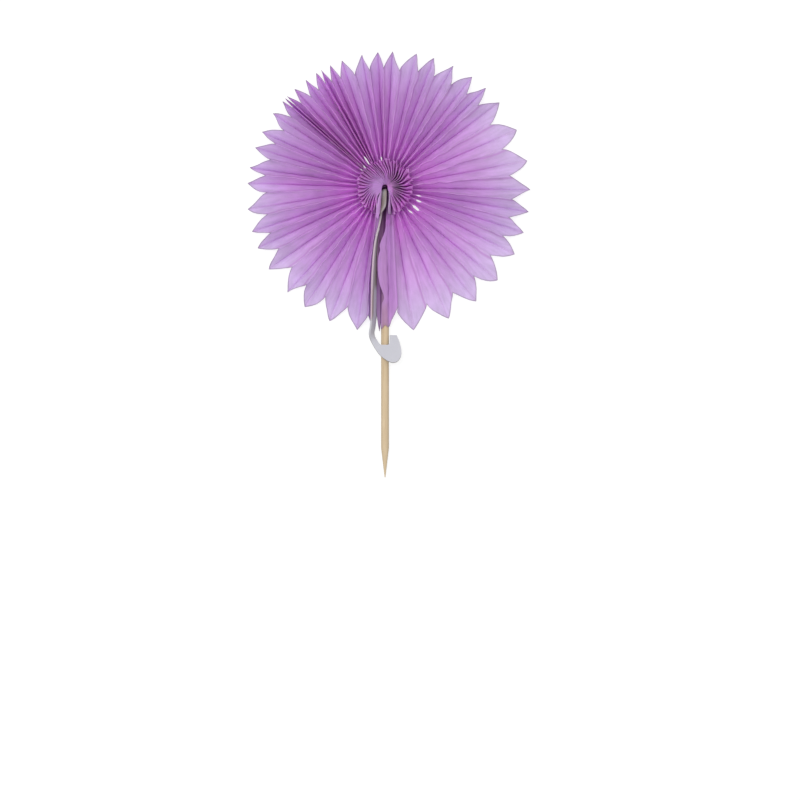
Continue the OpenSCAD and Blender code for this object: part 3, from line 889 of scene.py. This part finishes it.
class FANPICK_OT_tissue_fan(bpy.types.Operator):
    """Fold the fan's leaves round the hub"""
    bl_idname = "fanpick.tissue_fan"
    bl_label = "Tissue Fan"

    def execute(self, context):
        sizes = context.scene.fan_pick_sizes
        turns = open_turns()
        gaping = {ridge: rest for ridge, *rest in GAPING_SLITS}
        points, folds = [], []
        for k, turn in enumerate(turns):
            number = k - 1
            angle = radians(turn - 90)
            points.append(at_hub(50 * cos(angle), 50 * sin(angle), 0))
            # Round the hub the leaves lie close in some places and gape in others
            bunched = ripple(number * 0.16, 2, 5) * 6 + ripple(number * 0.71, 9, 1) * 4
            # A point is longer where its pleat opens further
            opening = turns[min(k + 1, len(turns) - 1)] - turns[max(k - 1, 0)]
            gape, begin, length = gaping.get(number / 2, (0.05, 11.1, 2.6))
            folds.append({
                "open_turn": turn,
                "packed_turn": mix(turns[1], turns[-2], number / LAST_FOLD) + bunched,
                "tip": 50.5 + 2.1 * cos(angle + radians(50)) + 0.5 * cos(2 * (angle - radians(35))),
                "point": 1 + 0.033 * (opening - 9), "slit": gape, "slit_start": begin, "slit_length": length,
                # The leaves lie close for longer to the left of the hub
                "closed": 3.1 + 3.3 * cos(angle - radians(182)) + 2.4 * ripple(number * 0.31, 4, 8)})
        mesh = bpy.data.meshes.new("fan_folds")
        mesh.from_pydata(points, [], [])
        for name in folds[0]:
            note(mesh, name, [fold[name] for fold in folds])
        fan = new_object("fan_folds", mesh)
        tree = fan_tree()
        modifier = fan.modifiers.new("Tissue Fan", "NODES")
        modifier.node_group = tree
        settings = {"Ring Radius": sizes.ring_radius / MM, "Glue Pitch": sizes.glue_pitch / MM,
                    "Leaf Point": sizes.leaf_point / MM, "Tissue": tissue_material(colour_table())}
        for item in tree.interface.items_tree:
            if item.in_out == "INPUT" and item.name in settings:
                modifier[item.identifier] = settings[item.name]
        paper_thickness(fan, sizes.tissue_thickness)
        done = to_plain_mesh(fan, "tissue_leaves")
        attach(done, "root")
        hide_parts("tissue_fan")
        return {"FINISHED"}


FREE_EDGE = [
    (1.5, 0.9), (9, 0.5), (12, 0.3), (14.7, 0.12), (17.1, -0.6), (18.7, -1.3), (20.6, -1.95), (22.3, -1.8),
    (24.2, -2.35), (26.6, -2.6), (30.9, -2.5), (34.9, -1.8), (36.8, -1.1), (38.9, -0.35), (40.3, -0.55),
    (41.5, -1.25), (50, -1.5)]
LAP_END = [
    (0, 42.9), (0.2, 45.2), (0.407, 47.5), (0.494, 49.2), (0.58, 49.9), (0.708, 49.4), (0.795, 49.2),
    (0.923, 50.3), (1, 50.5)]
LAP_CREASE = [(9, 0.95), (12.3, 0.95), (18.7, 0.48), (27, 0.75), (35, 1.19), (50, 1.25)]
TIP_LEFT = [(24, -2.6), (31.2, -3.4), (39, -3.3), (45, -3.0), (49, -2.5), (51.3, -2.05)]


def on_stick(x, away):
    """How high a sheet lies over the stick at a place across it."""
    reach = STICK_R + away
    return STICK_R + sqrt(max(reach * reach - min(abs(x), reach) ** 2, 0))


class FANPICK_OT_end_leaf(bpy.types.Operator):
    """Lay the fan's end leaves over the stick and beside the card"""
    bl_idname = "fanpick.end_leaf"
    bl_label = "End Leaves"

    def execute(self, context):
        thickness = context.scene.fan_pick_sizes.tissue_thickness
        lap = tissue_material(colour_table(), lap=True)
        turns = open_turns()

        def lay(name, rows, columns, place, marks):
            """Make one sheet, with numbers for its material by their rule of (i, j, x, r)."""
            mesh = sheet_mesh(name, rows, columns, place)
            noted = []
            for k, point in enumerate(mesh.vertices):
                i, j = k // (columns + 1) / rows, k % (columns + 1) / columns
                usual = dict(leaf_distance=8.0, leaf_width=0.5, leaf_margin=5.0, over_stick=0.0, in_gap=0.0)
                noted.append(usual | marks(i, j, (point.co.x - HUB.x) / MM, (HUB.y - point.co.y) / MM))
            for label in noted[0]:
                note(mesh, label, [numbers[label] for numbers in noted])
            thing = new_object(name, mesh, lap)
            paper_thickness(thing, thickness)
            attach(thing, "root")

        def crease(x, r):
            near = 1 - smooth(0.0, 0.42, abs(x - by_place(LAP_CREASE, r) - 0.25 * ripple(0, r * 0.35, 7)))
            return near * clamp(0.65 + ripple(2.4, r * 0.28, 8))

        def lap_place(i, j):
            r = mix(1.6, by_place(LAP_END, j), i)
            ridge = radians(fold_turn(0, r, turns) - 90)
            start = r * cos(ridge)
            x = mix(start + 0.3, by_place(FREE_EDGE, r), j)
            # The sheet falls from the ridge onto the stick, and its free side stands off a little
            fall = smooth(STICK_R * 0.7, start, x)
            z = mix(max(on_stick(x, 0.2), 2 * STICK_R - 0.9), 5.1, fall) - max(0, x - start)
            free = smooth(0.4, -1.0, x) * (1 - smooth(36, 40, r)) * smooth(15, 18, r)
            z = mix(z, 2 * STICK_R + 0.5, free)
            z -= 0.12 * crease(x, r) * smooth(16, 22, r)
            return at_hub(x, -r, z + 0.1 * ripple(x * 0.8, r * 0.35, 4))

        # The lap gets painted shade along its crease and near the hub, and a painted highlight along its free
        # edge
        lay("end_leaf_lap", 90, 34, lap_place, lambda i, j, x, r: dict(
            leaf_distance=r * 0.72,
            leaf_width=0.97 if j > 0.95 and 28 < r < 41 else 0.6, leaf=3 * j, leaf_margin=(1 - i) * 30,
            over_stick=(1 - smooth(0.8, 1.35, abs(x + 0.1))) * (
                0.12 * smooth(18, 26, r) + 0.5 * smooth(39, 45, r) + 0.2 * smooth(46, 50, r)),
            in_gap=0.42 * crease(x, r) * smooth(15, 19, r) + 0.5 * (1 - smooth(5, 10, r))))

        def under_place(i, j):
            r = mix(-0.75, 44 + 4.5 * smooth(0.35, 0.5, j), i)
            beside = foot_x(max(r, 0)) - max(0, from_hub(HEAD_LEAN, max(r, 0))) * 0.45 + CARD_T / 2 + 0.1
            x = mix(min(beside, -1.2), 1.4, j)
            rise = smooth(-1.1, beside, x)
            left = mix(2.9 + 0.5 * smooth(10, 20, r), 0.9, smooth(27, 32, r))
            return at_hub(x, -r, mix(on_stick(x, 0.05), left, rise))

        # The sheet under the lap is painted in shade throughout
        lay("end_leaf_under", 60, 20, under_place, lambda i, j, x, r: dict(
            leaf_distance=12.0, over_stick=0.5,
            in_gap=mix(0.5, 0.95, smooth(0.3, 0.5, j)) * (1 - 0.6 * smooth(36, 39, r))))

        def tip_place(i, j):
            r = mix(24, 51.3, i)
            right = by_place([(24, -1.55), (47, -1.4), (49, -1.6), (51.3, -1.95)], r)
            return at_hub(mix(right, by_place(TIP_LEFT, r), j), -r, 2.5 - 1.1 * j - 0.5 * i)

        # The leaf's point beside the card is painted in shade
        lay("end_leaf_tip", 40, 8, tip_place, lambda i, j, x, r: dict(
            leaf_distance=20 + 20 * i,
            in_gap=max(0.85 * (1 - smooth(0.1, 0.35, j)), mix(0.62, 0.3, i))))

        def wall_place(i, j):
            r = mix(1.6, 9.6, i)
            x = mix(2.3, 1.3, j * j) + 0.14 * sin(i * 6) * j
            return at_hub(x, -r, mix(4.9, 10.9 - 2.6 * max(0, i - 0.55), sin(j * pi / 2)))

        # The wall is painted in shade low down and towards the ring's end, with a painted highlight along its
        # top
        lay("end_leaf_wall", 24, 10, wall_place, lambda i, j, x, r: dict(
            leaf_width=1.4 + 0.6 * j, leaf_distance=40.0,
            in_gap=0.3 * (1 - smooth(0.25, 0.5, j)) + 0.35 * smooth(0.5, 1, i)))

        def pale_place(i, j):
            r = mix(1.1, 11.4 - 1.5 * abs(j - 0.4), i)
            out = by_place([(1.1, -1.45), (2.5, -1.95), (4, -2.5), (8, -3.15), (11.4, -3.3)], r)
            back = by_place([(1.1, -1.0), (4, -1.25), (8, -1.55), (11.4, -2.4)], r)
            return at_hub(mix(back, out, j), -r, mix(9.6, 10.95 - 1.8 * i * i, sin(j * pi * 0.7)))

        # Painted shade along this leaf's back edge
        lay("end_leaf_face", 24, 8, pale_place, lambda i, j, x, r: dict(
            leaf_distance=mix(40, 24, i), leaf_width=0.6,
            in_gap=0.5 * (1 - smooth(0, 0.12, j)) * smooth(2, 5, r)))

        def side_place(i, j):
            r = mix(1.2, 46.6, i)
            ring, rim = 1 - smooth(8.5, 10.5, r), smooth(26, 36, r)
            left = mix(-head_room(r) - 0.1, -foot_room(r) - 0.15, max(ring, rim))
            upper = foot_x(r) - from_hub(HEAD_LEAN, r) - CARD_T / 2 - 0.06
            right = mix(upper, min(left + 0.9, -r * 0.5), ring)
            low, high = mix(5.3, 0.15, max(ring, rim)), mix(5.0, 8.6, ring)
            return at_hub(mix(left, right, j), -r, mix(low, high, j) - 0.5 * sin(j * 3.14))

        # Painted shade, strongest on the side by the card
        lay("end_leaf_side", 70, 8, side_place, lambda i, j, x, r: dict(
            leaf_distance=max(r, 11), in_gap=mix(0.1, 0.45, smooth(0.75, 1, j))))
        return {"FINISHED"}


class FANPICK_OT_wooden_stick(bpy.types.Operator):
    """Turn the bamboo stick and sharpen its point"""
    bl_idname = "fanpick.wooden_stick"
    bl_label = "Wooden Stick"

    def execute(self, context):
        top, length, point, straight = STICK_TOP, 102.5, 10.6, 29.5
        below_r, blunt_r = 1.4, 0.15
        swell = length - point - straight
        profile = [(top, STICK_R - 0.3), (top - 0.09, STICK_R - 0.13), (top - 0.3, STICK_R)]
        profile += [(top - mix(0.3, swell, k / 40), mix(STICK_R, below_r, k / 40)) for k in range(1, 41)]
        profile += [(top - swell - straight * k / 16, below_r) for k in range(1, 17)]
        profile += [(top - (length - point) - point * k / 14, mix(below_r, blunt_r, k / 14))
                    for k in range(1, 15)]
        mesh = lathe("bamboo_stick", profile, 48, 0.012)
        thing = new_object("bamboo_stick", mesh, bamboo_material(colour_table()))
        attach(thing, "root")
        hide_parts("wooden_stick")
        return {"FINISHED"}


class FANPICK_OT_card_clasp(bpy.types.Operator):
    """Cut the card, stand it in the fan and hook it round the stick"""
    bl_idname = "fanpick.card_clasp"
    bl_label = "Card Clasp"

    def execute(self, context):
        thing = new_object("card_strip", card_mesh(), card_material(colour_table()))
        bevel = thing.modifiers.new("Worn Edge", "BEVEL")
        bevel.width = context.scene.fan_pick_sizes.card_bevel
        bevel.segments = 2
        bevel.limit_method = "ANGLE"
        bevel.angle_limit = radians(50)
        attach(thing, "root")
        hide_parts("card_clasp")
        return {"FINISHED"}


# Strength of the surround where the camera doesn't see it
SURROUND = 0.84
# The camera's distance from the pick, and the width of the photograph's frame there, in metres
CAMERA_AWAY = 3
CAMERA_FIELD = 0.2857


class FANPICK_OT_stage(bpy.types.Operator):
    """Lay the floor, hang the lamp and set the camera"""
    bl_idname = "fanpick.stage"
    bl_label = "Stage"

    def execute(self, context):
        scene = context.scene
        floor_mesh = sheet_mesh("floor", 1, 1, lambda i, j: Vector((mix(-2, 2, j), mix(-2, 2, i), -0.00006)))
        floor = new_object("floor", floor_mesh, floor_material(0.3, 0.8))
        scene.world = bpy.data.worlds.new("Soft Surround")
        scene.world.use_nodes = True
        tree = scene.world.node_tree
        tree.nodes.clear()
        back = add(tree, "ShaderNodeBackground", Strength=mix(SURROUND, 1.0, seen(tree)))
        add(tree, "ShaderNodeOutputWorld", Surface=back)
        light = bpy.data.lights.new("Softbox", "AREA")
        light.shape = "DISK"
        light.size = 1.2
        light.energy = 15
        lamp = new_object("Softbox", light)
        lamp.location = (-0.5, 0.45, 1.95)
        lamp.rotation_euler = (-lamp.location).to_track_quat("-Z", "Y").to_euler()
        camera_data = bpy.data.cameras.new("Camera")
        camera_data.sensor_width = 36
        camera_data.lens = 36 * CAMERA_AWAY / CAMERA_FIELD
        camera_data.clip_start = 0.01
        scene.camera = new_object("Camera", camera_data)
        scene.camera.location = HUB + Vector((5.36, -75.9, 3005.5)) * MM
        scene.view_settings.view_transform = "Standard"
        return {"FINISHED"}


class FANPICK_PT_sidebar(bpy.types.Panel):
    """The pick's pieces, sizes and colours"""
    bl_idname = "FANPICK_PT_sidebar"
    bl_label = "Paper Fan Pick"
    bl_space_type = "VIEW_3D"
    bl_region_type = "UI"
    bl_category = "Fan Pick"

    def draw(self, context):
        layout = self.layout
        for operator in OPERATORS:
            layout.operator(operator.bl_idname)
        scene = context.scene
        for title, group in (("Sizes", scene.fan_pick_sizes), ("Colours", scene.fan_pick_colours)):
            box = layout.box()
            box.label(text=title)
            for name in type(group).__annotations__:
                box.prop(group, name)


OPERATORS = (FANPICK_OT_tissue_fan, FANPICK_OT_end_leaf, FANPICK_OT_wooden_stick, FANPICK_OT_card_clasp,
             FANPICK_OT_stage)
CLASSES = (FanPickSizes, FanPickColours) + OPERATORS + (FANPICK_PT_sidebar,)


def register():
    for cls in CLASSES:
        bpy.utils.register_class(cls)
    bpy.types.Scene.fan_pick_sizes = bpy.props.PointerProperty(type=FanPickSizes)
    bpy.types.Scene.fan_pick_colours = bpy.props.PointerProperty(type=FanPickColours)


def unregister():
    del bpy.types.Scene.fan_pick_colours
    del bpy.types.Scene.fan_pick_sizes
    for cls in reversed(CLASSES):
        bpy.utils.unregister_class(cls)


def main():
    register()
    bpy.ops.fanpick.tissue_fan()
    bpy.ops.fanpick.end_leaf()
    bpy.ops.fanpick.wooden_stick()
    bpy.ops.fanpick.card_clasp()
    bpy.ops.fanpick.stage()


if __name__ == "__main__":
    main()
